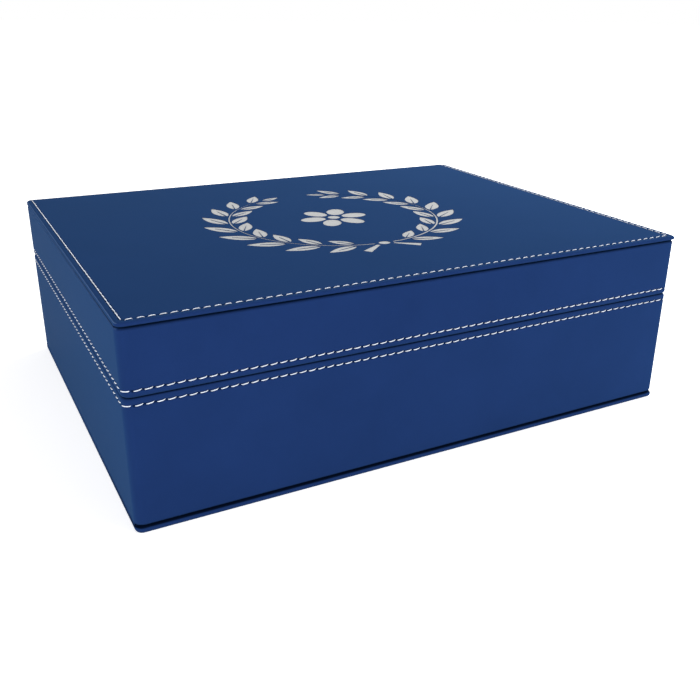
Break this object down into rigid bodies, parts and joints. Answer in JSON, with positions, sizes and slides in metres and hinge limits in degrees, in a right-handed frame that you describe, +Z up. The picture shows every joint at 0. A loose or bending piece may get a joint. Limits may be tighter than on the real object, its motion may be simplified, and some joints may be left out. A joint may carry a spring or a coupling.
{
  "type": "gift box",
  "caption": "Rectangular leatherette-covered keepsake box with stitched rims and a lid that swings up on stop hinges at the back; the inside is lined and padded.",
  "frame": {"origin": "middle of the flat underside of the bottom panel, where the closed box stands", "axes": "+X to the right seen from the front, +Y to the hinges at the back, +Z up"},
  "size_m": [0.254, 0.2008, 0.0812],
  "materials": {
    "navy_leatherette": "smooth fine-grained leatherette, satin",
    "silver_thread": "twisted sewing thread with a soft sheen",
    "silver_underlayer": "pale under-layer bared by laser engraving, matt",
    "lining_velvet": "short black flocked velvet",
    "fibre_board": "bare fibre board, hidden under the covering",
    "card_board": "grey board, hidden under the covering",
    "hinge_nickel": "nickel-plated, brushed",
    "screw_nickel": "nickel-plated, turned",
    "magnet_plating": "nickel-plated discs, hidden"
  },
  "bodies": {
    "base": {"base_panel_board": "card_board", "base_panel_cover": "navy_leatherette", "base_front_wall": "fibre_board", "base_back_wall": "fibre_board", "base_left_wall": "fibre_board", "base_right_wall": "fibre_board", "base_wall_cover": "navy_leatherette", "base_front_lining": "lining_velvet", "base_back_lining": "lining_velvet", "base_left_lining": "lining_velvet", "base_right_lining": "lining_velvet", "base_magnets": "magnet_plating", "left_hinge_base_leaf": "hinge_nickel", "right_hinge_base_leaf": "hinge_nickel", "hinge_base_screws": "screw_nickel", "left_hinge_pin": "screw_nickel", "right_hinge_pin": "screw_nickel", "base_floor_pad": "lining_velvet"},
    "lid": {"lid_panel_board": "card_board", "lid_panel_cover": "navy_leatherette", "lid_front_wall": "fibre_board", "lid_back_wall": "fibre_board", "lid_left_wall": "fibre_board", "lid_right_wall": "fibre_board", "lid_wall_cover": "navy_leatherette", "lid_front_lining": "lining_velvet", "lid_back_lining": "lining_velvet", "lid_left_lining": "lining_velvet", "lid_right_lining": "lining_velvet", "lid_magnets": "magnet_plating", "left_hinge_lid_leaf": "hinge_nickel", "right_hinge_lid_leaf": "hinge_nickel", "hinge_lid_screws": "screw_nickel", "lid_pad": "lining_velvet"}
  },
  "joints": [
    {"name": "lid_hinge", "type": "hinge", "parent": "base", "child": "lid", "pos_m": [0, 0.1002, 0.05365], "axis": [-1, 0, 0], "range_deg": [0, 95]}
  ]
}
